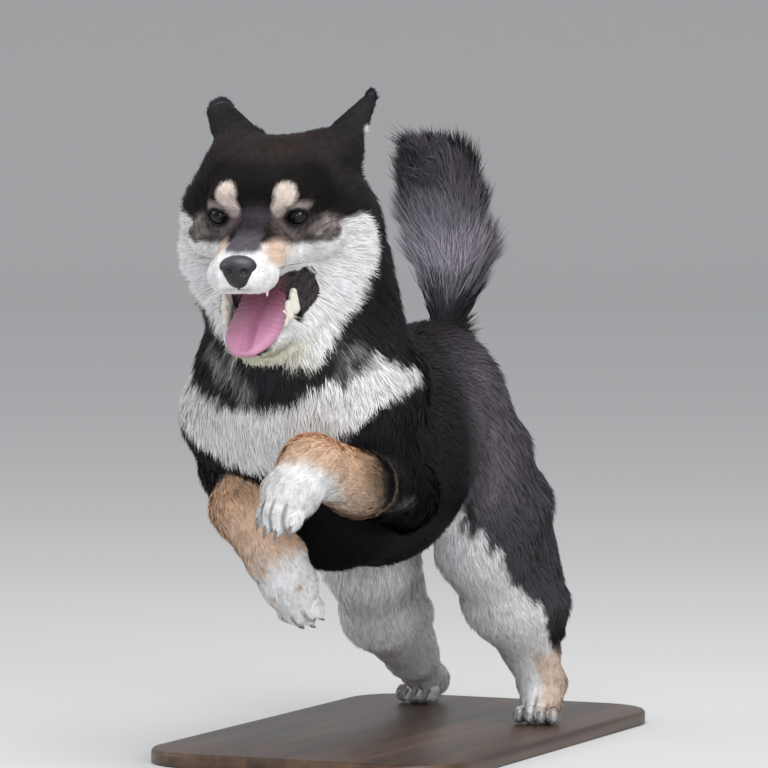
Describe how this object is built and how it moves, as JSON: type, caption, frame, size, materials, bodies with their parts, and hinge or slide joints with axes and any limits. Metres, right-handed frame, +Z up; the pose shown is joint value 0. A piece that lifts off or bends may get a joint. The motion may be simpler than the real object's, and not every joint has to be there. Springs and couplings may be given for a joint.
{
  "type": "shiba inu",
  "caption": "Black and tan shiba inu bounding on its hind feet with forelegs folded, mouth open, ears back and tail raised, life size, on a flat display base.",
  "frame": {"origin": "a point of the display base's flat underside, under the dog's middle", "axes": "+Z up, -Y the way the dog faces and the base's length, +X the dog's left"},
  "size_m": [0.27, 0.5865, 0.5301],
  "materials": {
    "coat_black": "black guard hair with a grey-brown sheen",
    "coat_cream": "soft cream-white hair",
    "coat_tan": "soft tan hair",
    "nose_leather": "moist, finely pebbled",
    "tongue": "wet, pink",
    "eye": "clear and polished over a dark brown iris",
    "claw": "smooth dark horn",
    "tooth": "smooth ivory white",
    "base_wood": "dark stained and satin varnished"
  },
  "bodies": {
    "root": {"head": "coat_black", "lower_jaw": "coat_cream", "nose": "nose_leather", "tongue": "tongue", "ear_left": "coat_black", "ear_right": "coat_black", "eye_left": "eye", "eye_right": "eye", "neck": "coat_black", "chest": "coat_black", "belly": "coat_black", "rump": "coat_black", "upper_arm_left": "coat_black", "upper_arm_right": "coat_black", "forearm_left": "coat_tan", "forearm_right": "coat_tan", "fore_paw_left": "coat_cream", "fore_paw_right": "coat_cream", "thigh_left": "coat_black", "thigh_right": "coat_black", "hock_left": "coat_cream", "hock_right": "coat_cream", "hind_paw_left": "coat_cream", "hind_paw_right": "coat_cream", "tail": "coat_black", "claw_fore_left_1": "claw", "claw_fore_left_2": "claw", "claw_fore_left_3": "claw", "claw_fore_left_4": "claw", "claw_fore_right_1": "claw", "claw_fore_right_2": "claw", "claw_fore_right_3": "claw", "claw_fore_right_4": "claw", "claw_hind_left_1": "claw", "claw_hind_left_2": "claw", "claw_hind_left_3": "claw", "claw_hind_left_4": "claw", "claw_hind_right_1": "claw", "claw_hind_right_2": "claw", "claw_hind_right_3": "claw", "claw_hind_right_4": "claw", "stand_base": "base_wood"}
  },
  "joints": []
}
